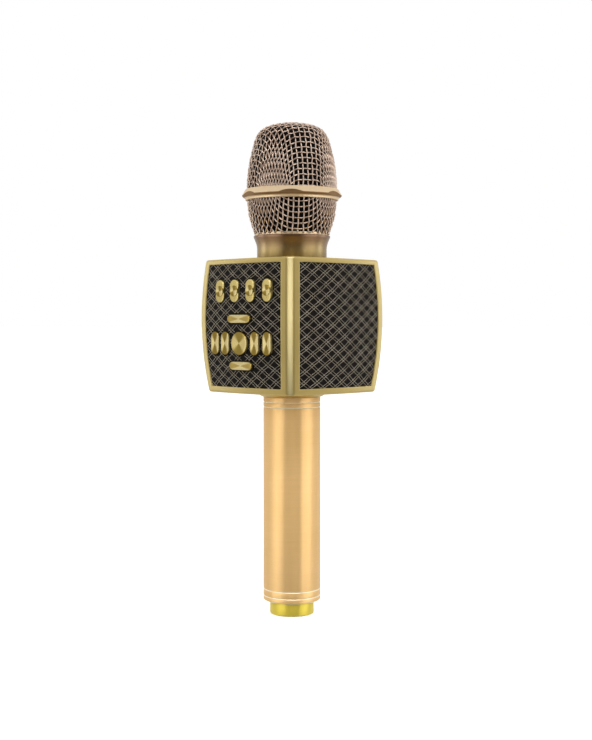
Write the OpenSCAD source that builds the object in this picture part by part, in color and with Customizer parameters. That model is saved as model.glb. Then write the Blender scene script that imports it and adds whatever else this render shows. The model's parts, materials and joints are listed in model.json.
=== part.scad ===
// Hand-held karaoke microphone: wire-mesh head on a screwed neck collar,
// four-sided speaker box with a key panel, and a battery handle with a screw-out tail.
// Millimetres, +Z up, origin at the centre of the tail's bottom face.
// The key panel faces -Y, the right speaker faces +X, the left speaker -X.

/* [Handle] */
// Outside radius of the handle tube
handle_r = 15.3; // [15.2:0.05:15.5]
// Height of the handle tube's lower end
handle_z0 = 7.4; // [7.3:0.05:7.45]
// Height of the handle tube's upper end
handle_z1 = 116.3; // [116:0.05:116.3]
// Depth of the bright ring grooves
groove_d = 0.35; // [0.2:0.05:0.5]
// Outside radius of the screw-out tail cap
tail_r = 11.75; // [11.5:0.05:11.8]

/* [Speaker box] */
// Half of the box's width across two faces, at its widest height
box_half = 38; // [37.9:0.05:38.2]
// Half of the box's width across two corner strips, at its widest height
box_diag = 48.5; // [48.3:0.05:48.8]
// Radius of the barrel-shaped faces
face_r = 229; // [225:1:235]
// Height of the box's lower face
box_z0 = 118.65; // [118.6:0.05:118.7]
// Height of the box's upper face
box_z1 = 189.2; // [189.1:0.05:189.2]
// Height at which the box is widest
box_zc = 158.2; // [157.5:0.1:159]
// Thickness of the frame's side walls
frame_wall = 2.5; // [2.4:0.05:2.5]
// Thickness of the frame's top wall
roof_t = 2.4; // [2.2:0.1:2.4]

/* [Face openings] */
// Half width of the opening in each face, at its widest height
win_half = 29.15; // [28.8:0.05:29.2]
// Radius of the opening's bowed sides
win_side_r = 261.5; // [255:0.5:270]
// Height of the opening's lower edge
win_z0 = 122; // [121.8:0.1:122.4]
// Height of the opening's upper edge
win_z1 = 186.5; // [186:0.1:186.6]
// How far the panels sit below the frame's faces
panel_recess = 0.5; // [0.4:0.05:0.7]

/* [Keys] */
// Height of the row of rocker keys
rocker_z = 172.2; // [171.8:0.1:172.6]
// Sideways place of the middle of the rocker row
rocker_x0 = 1.85; // [0.5:0.05:2]
// Distance from one rocker key to the next
rocker_pitch = 11.95; // [11.8:0.05:12.2]
// Width of a rocker key
rocker_w = 6.8; // [6.4:0.1:7]
// Height of a rocker key
rocker_h = 11.9; // [11.6:0.1:12]
// Width of a tall oblong key
tall_w = 6.1; // [5.8:0.1:6.3]
// Height of a tall oblong key
tall_h = 12.1; // [11.8:0.1:12.2]
// Length of a wide oblong key
wide_w = 17.5; // [17:0.1:17.8]
// Height of a wide oblong key
wide_h = 4.3; // [4:0.1:4.5]
// Diameter of the round middle key
round_d = 12; // [11.6:0.1:12.2]
// How far the keys stand out of the panel
key_proud = 1.2; // [1:0.1:1.4]

/* [Head] */
// Height of the neck collar's rim
collar_z1 = 202.3; // [202.2:0.05:202.4]
// Apothem of the six flats on the head's band
band_flat = 26.05; // [25.8:0.05:26.2]
// Greatest radius of the band
band_r = 26.8; // [26.6:0.05:27]
// Thickness of the wire mesh
mesh_t = 0.65; // [0.6:0.05:0.65]

/* [Speakers] */
// Height of the two speakers' axis
spk_z = 154.5; // [153.5:0.1:155.5]
// Distance of each speaker's front plane from the box's axis
spk_x = 30.45; // [30.3:0.05:30.5]

/* [Hidden] */
$fn = 96;

gold = "#b9a45c";
peach = "#e0bd84";
bright = "#d8c23a";
pale = "#c9ae8c";
dark = "#262524";
grille_grey = "#3a3834";
basket_grey = "#404040";
copper = "#b5651d";
cone_black = "#1e1e1e";
surround_black = "#101010";

outside = 60;                    // a distance from the axis beyond every face
strip_r = 185;                   // radius of the corner strips
panel_t = 1.5;                   // thickness of a face panel behind its opening
panel_back = panel_recess + panel_t;
cover_z1 = 121;                  // upper face of the bottom cover
main_z = 124.2;                  // lower face of the main board
board_t = 1.6;                   // thickness of both circuit boards
pcb_front = -27;                 // y of the key board's front face
mount_floor_z = 214.05;          // upper face of the capsule mount's floor

// ---- shared shapes ----

// y of the front face's surface at x and z, moved inwards by inset
function front_y(x, z, inset) =
  -(sqrt(pow(face_r - inset, 2) - x * x - pow(z - box_zc, 2)) + box_half - face_r);

// rectangle as [radius, z] points
function rect_profile(r0, r1, z0, z1) = [[r0, z0], [r1, z0], [r1, z1], [r0, z1]];

// solid turned about Z from a profile of [radius, z] points
module turned(profile) {
  rotate_extrude() polygon(profile);
}

// one bulged side, as a thick slice of a sphere of radius r whose face is half from the axis
module bulge(turn, r, half, inset, z0, z1) {
  rotate([0, 0, turn]) intersection() {
    translate([-outside, -outside, z0]) cube([2 * outside, 2 * outside, z1 - z0]);
    translate([half - r, 0, box_zc]) rotate([0, 0, 180]) sphere(r = r - inset, $fn = 144);
  }
}

// the box's outer form moved inwards by inset: four faces, then four corner strips
module barrel(inset, z0, z1) {
  intersection_for(turn = [0, 90, 180, 270, 45, 135, 225, 315])
    bulge(turn, turn % 90 == 0 ? face_r : strip_r, turn % 90 == 0 ? box_half : box_diag,
      inset, z0, z1);
}

// bowed opening in the -Y face, as a solid from outside the box in to y1, grown by grow
module opening(grow, y1) {
  depth = y1 + outside;
  intersection() {
    translate([-40, -outside, win_z0 - grow]) cube([80, depth, win_z1 - win_z0 + 2 * grow]);
    intersection_for(s = [1, -1])
      translate([s * (win_side_r - win_half - grow), -outside - 1, box_zc])
        rotate([-90, 0, 0]) cylinder(r = win_side_r, h = depth + 2, $fn = 360);
  }
}

// face panel for the -Y opening: visible plate, and a flange that bears on the frame's inside
module face_panel() {
  edge_gap = 0.08;
  flange_lap = 0.75;
  flange_gap = 0.05;
  flange_t = 1;
  difference() {
    union() {
      intersection() {
        opening(-edge_gap, -20);
        barrel(panel_recess, win_z0 - 3, win_z1 + 3);
      }
      intersection() {
        opening(flange_lap, -20);
        barrel(frame_wall + flange_gap, win_z0 - 3, box_z1 - roof_t - flange_gap);
      }
    }
    // hollow back, so the plate is thin behind the opening
    intersection() {
      opening(-1.6, -10);
      barrel(panel_back, win_z0 - 3, win_z1 + 3);
    }
    // everything behind the flange
    intersection() {
      translate([-40, -outside, win_z0 - 4]) cube([80, 50, win_z1 - win_z0 + 8]);
      barrel(frame_wall + flange_gap + flange_t, win_z0 - 4, win_z1 + 4);
    }
  }
}

// stadium outline w by h, or a circle where the two are equal
module pill2d(w, h) {
  wide = w > h;
  straight = abs(w - h);
  if (straight < 0.01) {
    circle(d = w, $fn = 72);
  } else {
    square(wide ? [straight, h] : [w, straight], center = true);
    for (s = [-1, 1]) translate(wide ? [s * straight / 2, 0] : [0, s * straight / 2])
      circle(d = min(w, h), $fn = 48);
  }
}

// stadium prism at x, z whose axis is Y, between y0 and y1
module pill(x, z, w, h, y0, y1) {
  translate([x, y1, z]) rotate([90, 0, 0]) linear_extrude(y1 - y0) pill2d(w, h);
}

// ---- head ----

// outside of the wire head below and above the band, as [z, radius]
lower_profile = [
  [collar_z1 + 0.05, 20.45], [203.9, 20.75], [205.5, 21.1], [207.7, 21.9], [209.8, 22.6],
  [212, 23.1], [214.1, 23.55], [216.3, 23.8], [218.4, 24.0], [222.1, 24.25]
];
upper_profile = [
  [225.9, 24.3], [231.3, 24.3], [233.5, 24.1], [235.6, 23.9], [237.8, 23.66], [239.9, 23.35],
  [242.1, 23.0], [244.2, 22.6], [246.4, 22.05], [248.5, 21.5], [250.7, 21.0], [252.8, 20.4],
  [255, 19.6], [257.2, 18.4], [258.6, 17.2], [259.9, 15.6], [261.1, 13.0], [262, 9.8],
  [262.6, 6.6], [262.9, 3.4], [263, 0]
];
crown_z0 = 255; // above this height an inset also lowers the points
crown_h = 8;

// [radius, z] points of a [z, radius] profile moved inwards by inset
function inset_points(profile, inset) = [for (p = profile)
  [max(0, p[1] - inset), p[0] - (p[0] > crown_z0 ? inset * (p[0] - crown_z0) / crown_h : 0)]];

// shell of the given thickness inside the profile, moved inwards by inset
module head_shell(profile, inset, thickness) {
  outer = inset_points(profile, inset);
  inner = inset_points(profile, inset + thickness);
  turned(concat(outer, [for (i = [len(profile) - 1:-1:0]) inner[i]]), $fn = 120);
}

module grille_upper() { color(pale) head_shell(upper_profile, 0, mesh_t); }
module grille_lower() { color(pale) head_shell(lower_profile, 0, mesh_t); }

module grille_band() {
  ridge_profile = [
    [23, 222], [24.6, 222], [25.4, 222.4], [band_r - 0.35, 223.2], [band_r, 223.6],
    [band_r, 223.9], [25.2, 226.7], [24.9, 227.1], [23, 227.1]
  ];
  lower_lip_profile = [
    [23, 221.2], [24.8, 221.2], [25, 221.4], [25, 222.2], [24.8, 222.4], [23, 222.4]
  ];
  color(pale) difference() {
    union() {
      intersection() {
        turned(ridge_profile, $fn = 120);
        // six flats
        rotate([0, 0, -15]) translate([0, 0, 219])
          cylinder(r = band_flat / cos(30), h = 10, $fn = 6);
      }
      turned(lower_lip_profile, $fn = 120);
    }
    // grooves that take the edges of the two mesh baskets
    turned(rect_profile(23.4, 24.38, 220.4, 222.3), $fn = 120);
    turned(rect_profile(23.5, 24.42, 225.7, 227.6), $fn = 120);
  }
}

module grille_base_ring() {
  color(pale) turned([
    [14.6, 196.2], [16.7, 196.2], [17, 196.5], [17, collar_z1], [19.7, collar_z1],
    [19.7, collar_z1 + 1.3], [14.6, collar_z1 + 1.3]
  ]);
}

module foam_liner() {
  foam_inset = 1.45;
  foam_t = 3;
  foam_z0 = 205;
  // the lower profile's last point lies inside the band and is left out
  foam_profile = concat([for (p = lower_profile) if (p[0] < 222) p], upper_profile);
  color(dark) intersection() {
    head_shell(foam_profile, foam_inset, foam_t);
    translate([0, 0, foam_z0]) cylinder(r = 40, h = 70);
  }
}

module head_gasket() {
  color(dark) turned(rect_profile(17.2, 19.6, collar_z1 - 0.8, collar_z1 - 0.05));
}

// ---- neck and capsule ----
collar_screw_ring = 16.2;
collar_screw_pts = [for (a = [90, 210, 330]) collar_screw_ring * [cos(a), sin(a)]];

module neck_collar() {
  collar_profile = [
    [4, 187], [14, 187], [14, 189.2], [18.7, 189.2], [18.7, 195.2], [18.8, 196.4],
    [19.1, 197.8], [19.6, 199.2], [20.2, collar_z1 - 1.7], [20.55, collar_z1 - 0.9],
    [20.55, collar_z1 - 0.3], [20.25, collar_z1], [19.7, collar_z1], [19.7, collar_z1 - 0.85],
    [17.05, collar_z1 - 0.85], [17.05, 195.9], [14, 195.9], [14, 193], [4, 193]
  ];
  color(gold) difference() {
    turned(collar_profile, $fn = 120);
    for (p = collar_screw_pts) translate([p[0], p[1], 188])
      cylinder(r = 1.05, h = 7, $fn = 32);
  }
}

// screws driven up from inside the box, with six-sided sockets in their heads
module collar_screws() {
  color("silver") for (p = collar_screw_pts) translate([p[0], p[1], 0]) {
    translate([0, 0, 186.6]) cylinder(r = 1, h = 7.8, $fn = 32);
    difference() {
      translate([0, 0, 185.3]) cylinder(r = 1.85, h = 1.45, $fn = 32);
      translate([0, 0, 185.2]) cylinder(r = 0.9, h = 0.8, $fn = 6);
    }
  }
}

module capsule_post() {
  color("dimgray") turned([
    [3, 193.05], [12, 193.05], [12, 195], [6.5, 197], [5, 199.5], [5, 209], [8.5, 210.5],
    [8.5, 212], [3, 212]
  ], $fn = 72);
}

module capsule_mount() {
  color(dark) turned([
    [3, 212.05], [12.5, 212.05], [12.5, 221], [11.05, 221], [11.05, mount_floor_z],
    [3, mount_floor_z]
  ], $fn = 72);
}

module mic_capsule() {
  color("silver") union() {
    translate([0, 0, mount_floor_z + 0.05]) cylinder(r = 11, h = 14, $fn = 72);
    translate([0, 0, 228]) cylinder(r = 9.5, h = 3, $fn = 72);
    turned([[0, 230.9], [8, 230.9], [7, 232.4], [4, 233.2], [0, 233.5]], $fn = 72);
  }
}

// ---- box ----
cover_screw_pts = [[-26, -18], [26, -18], [-26, 26], [26, 26]];

// sockets in the bottom cover: places, and outside sizes in x and y
port_y = 25;
usb_x = -11;
card_x = 12;
usb_size = [8.9, 3.3];
card_size = [13, 2.6];
jack_r = 3.2;
port_gap = 0.2;

// speaker and bass places; the bass diaphragm faces +Y
spk_y = 2;
bass_y = 30.25;
bass_z = spk_z;

module box_frame() {
  roof_cut_z = box_z1 - roof_t - 1;
  color(gold) difference() {
    barrel(0, box_z0, box_z1);
    barrel(frame_wall, box_z0 - 1, box_z1 - roof_t);
    for (a = [0:90:270]) rotate([0, 0, a]) opening(0, -20);
    // holes in the roof for the collar's spigot and screws
    translate([0, 0, roof_cut_z]) cylinder(r = 14.1, h = 5);
    for (p = collar_screw_pts) translate([p[0], p[1], roof_cut_z])
      cylinder(r = 1.25, h = 5, $fn = 32);
  }
}

// cut through the cover for a rectangular socket
module port_cut(x, size) {
  translate([x, port_y, box_z0 + 1])
    cube([size[0] + 2 * port_gap, size[1] + 2 * port_gap, 6], center = true);
}

module bottom_cover() {
  // spigot into the handle, and the flared shoulder above it
  spigot_profile = [
    [11, 102], [12.9, 102], [13.2, 102.3], [13.2, 116.35], [16.3, 116.35], [17.1, 116.8],
    [18.3, 117.9], [20, 118.66], [20, 119], [11, 119]
  ];
  color(gold) difference() {
    union() {
      barrel(frame_wall + 0.06, box_z0, cover_z1);
      turned(spigot_profile, $fn = 120);
      // posts under the main board
      for (x = [-20, 20], y = [-12, 18]) translate([x, y, cover_z1 - 0.1])
        cylinder(r = 2.2, h = 3.2, $fn = 32);
    }
    translate([0, 0, 100]) cylinder(r = 11, h = 30);
    // countersunk screw holes
    for (p = cover_screw_pts) translate([p[0], p[1], box_z0]) {
      translate([0, 0, -1]) cylinder(r = 1.4, h = 5, $fn = 32);
      translate([0, 0, -0.01]) cylinder(r1 = 2.75, r2 = 1.35, h = 1.4, $fn = 48);
    }
    // charging socket, line socket and card openings
    port_cut(usb_x, usb_size);
    translate([0, port_y, box_z0 - 1]) cylinder(r = jack_r + port_gap, h = 5, $fn = 48);
    port_cut(card_x, card_size);
  }
}

module front_panel() {
  color("#4a4640") difference() {
    face_panel();
    for (k = keys) pill(k[0], k[1], k[2] + 0.3, k[3] + 0.3, -45, -28);
    for (i = [0:3]) pill(rocker_x(i), rocker_z, rocker_w + 0.4, rocker_h + 0.9, -45, -28);
  }
}

module right_grille() { color(grille_grey) rotate([0, 0, 90]) face_panel(); }
module left_grille() { color(grille_grey) rotate([0, 0, -90]) face_panel(); }
module rear_grille() { color(grille_grey) rotate([0, 0, 180]) face_panel(); }

module speaker_chassis() {
  chassis_z0 = 121.3;
  front_wall_y = -25;
  wall = 2;
  inset = frame_wall + 1.3;
  seat_gap = 0.05;
  color("#30302e") difference() {
    union() {
      difference() {
        intersection() {
          barrel(inset, chassis_z0, 186.6);
          translate([-50, front_wall_y, 100]) cube([100, 100, 100]);
        }
        intersection() {
          barrel(inset + wall, 121, 187);
          translate([-50, front_wall_y + wall, 100]) cube([100, 100, 100]);
        }
      }
      // flat seats for the two speakers and the bass diaphragm
      intersection() {
        barrel(inset + 0.1, 122, 186);
        union() {
          for (s = [-1, 1]) translate([s * (spk_x + seat_gap), spk_y, spk_z])
            rotate([0, s * 90, 0]) cylinder(r = 20.8, h = 6);
          translate([0, bass_y + seat_gap, bass_z]) rotate([-90, 0, 0])
            cylinder(r = 23, h = 6);
        }
      }
      // bosses for the cover's screws
      for (p = cover_screw_pts) translate([p[0], p[1], chassis_z0])
        cylinder(r = 3, h = 10, $fn = 48);
    }
    // holes for the two speakers, the bass diaphragm and the cover's screws
    for (s = [-1, 1]) translate([s * 26, spk_y, spk_z]) rotate([0, s * 90, 0])
      cylinder(r = 16.6, h = 14);
    translate([0, 26, bass_z]) rotate([-90, 0, 0]) cylinder(r = 19, h = 14);
    for (p = cover_screw_pts) translate([p[0], p[1], 121]) cylinder(r = 1.2, h = 9.5, $fn = 32);
    // pass-through for the key panel's ribbon
    translate([-8, -26, 128]) cube([16, 4, 4]);
  }
}

// countersunk screws with cross slots
module cover_screws() {
  shank_r = 1.15;
  slot = [2.4, 0.5, 1];
  color("silver") for (p = cover_screw_pts) translate([p[0], p[1], box_z0]) difference() {
    union() {
      translate([0, 0, 0.15]) cylinder(r1 = 2.45, r2 = shank_r, h = 1.3, $fn = 48);
      translate([0, 0, 1.4]) cylinder(r = shank_r, h = 9.5, $fn = 32);
    }
    for (a = [0, 90]) rotate([0, 0, a]) translate([-slot[0] / 2, -slot[1] / 2, 0]) cube(slot);
  }
}

// ---- keys ----

// push keys as [x, z, width, height]
mid_row_z = 145;
near_key_x = 11.35;
far_key_x = 20.05;
key_mode      = [0, 157.7, wide_w, wide_h];
key_play      = [0, 133.3, wide_w, wide_h];
key_previous  = [-far_key_x, mid_row_z, tall_w, tall_h];
key_record    = [-near_key_x, mid_row_z, tall_w, tall_h];
key_power     = [0, mid_row_z, round_d, round_d];
key_accompany = [near_key_x, mid_row_z, tall_w, tall_h];
key_next      = [far_key_x, mid_row_z, tall_w, tall_h];
keys = [key_mode, key_play, key_previous, key_record, key_power, key_accompany, key_next];

stem_end_y = -30.35;
switch_w = 4.5;
rocker_foot_z = 4.1; // height of a rocker's feet and switches above and below its middle
shaft_y = -33;
shaft_r = 0.7;

// x of rocker key i, from 0 at the -X end to 3
function rocker_x(i) = rocker_x0 + (i - 1.5) * rocker_pitch;

// the bracket's rails, and how far rails and end posts reach past the end rockers' middles
rail_reach = 6.2;
end_post_reach = 5.2;
rail_x0 = rocker_x(0) - rail_reach;
rail_w = 3 * rocker_pitch + 2 * rail_reach;
rail_z = 7.6;
rail_t = 1.6;

// middle of each of the five posts that carry the shaft
function post_x(i) = i == 0 ? rocker_x(0) - end_post_reach
  : i == 4 ? rocker_x(3) + end_post_reach
  : rocker_x(0) + (i - 0.5) * rocker_pitch;

// key board with a screw hole in each corner
module control_pcb() {
  width = 54;
  height = 56;
  z0 = 127;
  hole_inset = 2.5;
  hole_x = width / 2 - hole_inset;
  color("darkgreen") difference() {
    translate([-width / 2, pcb_front, z0]) cube([width, board_t, height]);
    for (x = [-hole_x, hole_x], z = [z0 + hole_inset, z0 + height - hole_inset])
      translate([x, pcb_front - 1, z]) rotate([-90, 0, 0]) cylinder(r = 1.1, h = 4, $fn = 32);
  }
}

// one switch on the key board: square can and round plunger
module tact(x, z) {
  translate([x - switch_w / 2, pcb_front - 2.2, z - switch_w / 2])
    cube([switch_w, 2.15, switch_w]);
  translate([x, pcb_front - 2.7, z]) rotate([-90, 0, 0]) cylinder(r = 1.1, h = 0.6, $fn = 24);
}

module tact_switches() {
  color("gray") {
    for (k = keys) tact(k[0], k[1]);
    for (i = [0:3], s = [-1, 1]) tact(rocker_x(i), rocker_z + s * rocker_foot_z);
  }
}

module rocker_bracket() {
  post = [1.8, 3.5, 16.4];
  pin_inset = 1.6;
  color("#50504c") difference() {
    union() {
      // posts, trimmed to clear the panel's back
      intersection() {
        for (i = [0:4]) translate([post_x(i) - post[0] / 2, -33.9, rocker_z - post[2] / 2])
          cube(post);
        barrel(panel_back + 0.1, rocker_z - 9, rocker_z + 9);
      }
      for (s = [-1, 1]) translate([rail_x0, -32.4, rocker_z + s * rail_z - rail_t / 2])
        cube([rail_w, 2, rail_t]);
      // feet that reach back to the key board
      for (x = [rail_x0 + pin_inset, rail_x0 + rail_w - pin_inset], s = [-1, 1])
        translate([x, -31, rocker_z + s * rail_z]) rotate([-90, 0, 0])
          cylinder(r = 1.4, h = 3.95, $fn = 32);
    }
    translate([-40, shaft_y, rocker_z]) rotate([0, 90, 0])
      cylinder(r = shaft_r + 0.01, h = 80, $fn = 48);
  }
}

module rocker_shaft() {
  color("silver") translate([rail_x0, shaft_y, rocker_z]) rotate([0, 90, 0])
    cylinder(r = shaft_r, h = rail_w, $fn = 48);
}

// rocker key: oblong body, raised middle, two feet and a cross bore for the shaft
module rocker_key(i) {
  x = rocker_x(i);
  top = front_y(x, rocker_z, panel_recess) - key_proud + 0.25;
  difference() {
    union() {
      pill(x, rocker_z, rocker_w - 0.4, rocker_h - 0.4, top, top + 1);
      pill(x, rocker_z, rocker_w, rocker_h, top + 0.2, -31.9);
      // raised round middle
      translate([x, top + 0.5, rocker_z]) rotate([90, 0, 0])
        cylinder(r = 3.3, h = 1.0, $fn = 48);
      for (s = [-1, 1]) translate([x, -30.2, rocker_z + s * rocker_foot_z])
        rotate([90, 0, 0]) cylinder(r = 1.1, h = 1.8, $fn = 24);
    }
    translate([x - 6, shaft_y, rocker_z]) rotate([0, 90, 0])
      cylinder(r = shaft_r + 0.03, h = 12, $fn = 48);
  }
}

module rocker_volume() { color(bright) rocker_key(0); }
module rocker_echo() { color(bright) rocker_key(1); }
module rocker_treble() { color(bright) rocker_key(2); }
module rocker_bass() { color(bright) rocker_key(3); }

// push key: cap, retaining lip behind the panel, and stem towards its switch
module push_key(key) {
  x = key[0];
  z = key[1];
  w = key[2];
  h = key[3];
  top = front_y(x, z, panel_recess) - key_proud;
  back = front_y(x, z, panel_back) + 2.2;
  union() {
    pill(x, z, w - 0.5, h - 0.5, top, top + 1);
    pill(x, z, w, h, top + 0.25, back);
    intersection() {
      pill(x, z, w + 1, h + 1, -50, back);
      barrel(panel_back + 0.15, 120, 188);
    }
    translate([x, stem_end_y, z]) rotate([90, 0, 0])
      cylinder(r = 1.4, h = stem_end_y - back + 0.5, $fn = 32);
  }
}

module button_mode() { color(bright) push_key(key_mode); }
module button_play() { color(bright) push_key(key_play); }
module button_previous() { color(bright) push_key(key_previous); }
module button_record() { color(bright) push_key(key_record); }
module button_power() { color(bright) push_key(key_power); }
module button_accompany() { color(bright) push_key(key_accompany); }
module button_next() { color(bright) push_key(key_next); }

// ---- electronics ----
sleeve_z0 = 20.5;
sleeve_h = 76.9;

// main board, notched for the line socket and bored for the capsule's lead
module main_pcb() {
  color("darkgreen") difference() {
    translate([-22.4, -18, main_z]) cube([44.8, 46, board_t]);
    translate([-3.6, 21.4, main_z - 1]) cube([7.2, 10, 4]);
    translate([0, 0, main_z - 1]) cylinder(r = 2, h = 4, $fn = 32);
  }
}

module pcb_components() {
  parts_z = main_z + board_t + 0.02;
  // block parts as [x, y, size]
  blocks = [
    [-16, -6, [8, 8, 1.2]],
    [8, -8, [6, 5, 1.2]],
    [-4, -15, [9, 3, 3]],
    [14, 3, [4.4, 4.4, 3]]
  ];
  color("#1c1c1c") {
    for (b = blocks) translate([b[0], b[1], parts_z]) cube(b[2]);
    for (x = [-17, 10, 17]) translate([x, 13, parts_z]) cylinder(r = 2.5, h = 6, $fn = 32);
  }
}

// rectangular socket shell open at the bottom, up to the main board
module port_shell(x, outer, inner) {
  difference() {
    translate([x - outer[0] / 2, port_y - outer[1] / 2, box_z0 + 0.4])
      cube([outer[0], outer[1], main_z - box_z0 - 0.43]);
    translate([x - inner[0] / 2, port_y - inner[1] / 2, box_z0])
      cube([inner[0], inner[1], 4.6]);
  }
}

module usb_port() { color("silver") port_shell(usb_x, usb_size, [8, 2.4]); }
module card_slot() { color("silver") port_shell(card_x, card_size, [11.2, 1]); }

module audio_jack() {
  color("#202020") difference() {
    union() {
      translate([-jack_r, port_y - jack_r, cover_z1 + 0.1])
        cube([2 * jack_r, 2 * jack_r, 11.4]);
      translate([0, port_y, box_z0 + 0.2]) cylinder(r = jack_r, h = 3, $fn = 48);
    }
    translate([0, port_y, box_z0 + 0.1]) cylinder(r = 1.8, h = 12.1, $fn = 48);
  }
}

module wiring() {
  leads_z0 = sleeve_z0 + sleeve_h + 0.2;
  capsule_lead_z0 = main_z - 1;
  color("red") {
    // battery leads up to the main board
    for (x = [-4, 4]) translate([x, 0, leads_z0])
      cylinder(r = 0.7, h = main_z - leads_z0 - 0.05, $fn = 24);
    // screened lead from the main board up to the capsule
    translate([0, 0, capsule_lead_z0])
      cylinder(r = 1.4, h = mount_floor_z - capsule_lead_z0, $fn = 32);
  }
}

// ---- speakers: built along +Z with the front plane at z = 0, then turned ----
module spk_basket() {
  basket_profile = [
    [16.2, 0], [20, 0], [20, -1.2], [17.6, -1.2], [10.6, -8.2], [10.6, -9.2], [5.2, -9.2],
    [5.2, -8.2], [9.4, -8.2], [16.2, -1.4]
  ];
  difference() {
    turned(basket_profile);
    for (a = [0:60:300]) rotate([0, 0, a]) translate([13.4, 0, -7.6])
      cylinder(r = 2.1, h = 6, $fn = 32);
  }
}

// thin ring standing on z0, its bore cut longer than the ring
module thin_ring(outer_r, inner_r, z0, height) {
  translate([0, 0, z0]) difference() {
    cylinder(r = outer_r, h = height, $fn = 72);
    translate([0, 0, -1]) cylinder(r = inner_r, h = 10, $fn = 72);
  }
}

// magnet with a ring-shaped gap for the coil
module spk_magnet() {
  difference() {
    translate([0, 0, -15.6]) cylinder(r = 9.5, h = 6.35, $fn = 72);
    thin_ring(4.75, 4, -14.4, 8);
  }
}

module spk_coil() { thin_ring(4.55, 4.25, -13, 7.4); }

module spk_cone() {
  turned([
    [0, -3.3], [2, -3.5], [3.6, -4.1], [5, -5.1], [14, -1.2], [14, -1.7], [5.1, -5.7],
    [4.65, -5.7], [4.65, -5.3], [3.4, -4.5], [1.9, -4.0], [0, -3.8]
  ]);
}

module spk_surround() {
  turned([
    [14.15, -1.1], [14.5, -0.5], [15.1, -0.2], [15.6, -0.5], [16.1, -0.9], [16.1, -1.4],
    [15.7, -1.1], [15.1, -0.7], [14.6, -1], [14.4, -1.7], [14.15, -1.7]
  ]);
}

module at_right() { translate([spk_x, spk_y, spk_z]) rotate([0, 90, 0]) children(); }
module at_left() { translate([-spk_x, spk_y, spk_z]) rotate([0, -90, 0]) children(); }
module at_rear() { translate([0, bass_y, bass_z]) rotate([-90, 0, 0]) children(); }

module right_speaker_basket() { color(basket_grey) at_right() spk_basket(); }
module right_speaker_magnet() { color("silver") at_right() spk_magnet(); }
module right_speaker_coil() { color(copper) at_right() spk_coil(); }
module right_speaker_cone() { color(cone_black) at_right() spk_cone(); }
module right_speaker_surround() { color(surround_black) at_right() spk_surround(); }
module left_speaker_basket() { color(basket_grey) at_left() spk_basket(); }
module left_speaker_magnet() { color("silver") at_left() spk_magnet(); }
module left_speaker_coil() { color(copper) at_left() spk_coil(); }
module left_speaker_cone() { color(cone_black) at_left() spk_cone(); }
module left_speaker_surround() { color(surround_black) at_left() spk_surround(); }

module bass_diaphragm() {
  color(cone_black) at_rear()
    turned([[0, -0.9], [9, -0.9], [14, 0], [14, -0.6], [9, -2.6], [0, -2.6]]);
}

module bass_surround() {
  color(surround_black) at_rear() turned([
    [14.15, 0], [15, 0.9], [16.4, 1.3], [17.6, 0.9], [18.6, 0], [18.6, -0.1], [22.4, -0.1],
    [22.4, -0.9], [18.3, -0.9], [17.3, 0.2], [16.4, 0.6], [15.3, 0.2], [14.6, -0.7],
    [14.15, -0.7]
  ]);
}

// ---- handle ----
module handle_tube() {
  bore_r = 13.3;
  lower_chamfer = 0.5;
  upper_chamfer = 0.3;
  groove_zs = [9.95, 13.5, 110.6, 113.2];
  color(peach) turned(concat(
    [[bore_r, handle_z0], [handle_r - lower_chamfer, handle_z0],
      [handle_r, handle_z0 + lower_chamfer]],
    // V-shaped ring grooves
    [for (z = groove_zs) each
      [[handle_r, z - groove_d], [handle_r - groove_d, z], [handle_r, z + groove_d]]],
    [[handle_r, handle_z1 - upper_chamfer], [handle_r - upper_chamfer, handle_z1],
      [bore_r, handle_z1]]
  ), $fn = 144);
}

module tail_bushing() {
  color("darkgoldenrod") turned([
    [11.95, 7.5], [13.25, 7.5], [13.25, 20], [10.55, 20], [10.55, 8.75], [11.95, 8.75]
  ]);
}

module tail_cap() {
  color(bright) turned([
    [0, 0], [tail_r - 0.6, 0], [tail_r - 0.18, 0.18], [tail_r, 0.6], [tail_r, 7.5],
    [10.5, 7.5], [10.5, 17.7], [10.2, 18], [8.6, 18], [8.6, 3], [0, 3]
  ]);
}

module tail_oring() {
  color(dark) turned([
    [10.65, 7.9], [10.85, 7.6], [11.5, 7.6], [11.7, 7.9], [11.7, 8.4], [11.5, 8.65],
    [10.85, 8.65], [10.65, 8.4]
  ]);
}

// coil spring: a helix whose radius grows towards the cap
spring_turns = 5;
spring_steps = 16 * spring_turns;
spring_top_r = 4.2;
spring_flare = 3.2;
spring_z0 = 3.55;
spring_h = 22.6;
wire_r = 0.4;
wire_sides = 6;

// point on the wire's surface: t runs 0 to 1 up the helix, a is the angle round the wire
function spring_point(t, a) =
  let (turn = 360 * spring_turns * t,
       r = spring_top_r + spring_flare * (1 - t) + wire_r * cos(a))
  [r * cos(turn), r * sin(turn), spring_z0 + spring_h * t + wire_r * sin(a)];

module battery_spring() {
  n = wire_sides;
  points = [for (i = [0:spring_steps]) for (j = [0:n - 1])
    spring_point(i / spring_steps, 360 * j / n)];
  sides = [for (i = [0:spring_steps - 1]) for (j = [0:n - 1])
    [i * n + j, i * n + (j + 1) % n, (i + 1) * n + (j + 1) % n, (i + 1) * n + j]];
  start = [for (j = [n - 1:-1:0]) j];
  end = [for (j = [0:n - 1]) spring_steps * n + j];
  color("silver") polyhedron(points = points, faces = concat([start], sides, [end]));
}

module battery_cell() {
  color("steelblue") union() {
    translate([0, 0, 27]) cylinder(r = 9.2, h = 63.6, $fn = 72);
    translate([0, 0, 90.5]) cylinder(r = 3, h = 1.5, $fn = 48);
  }
}

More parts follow.
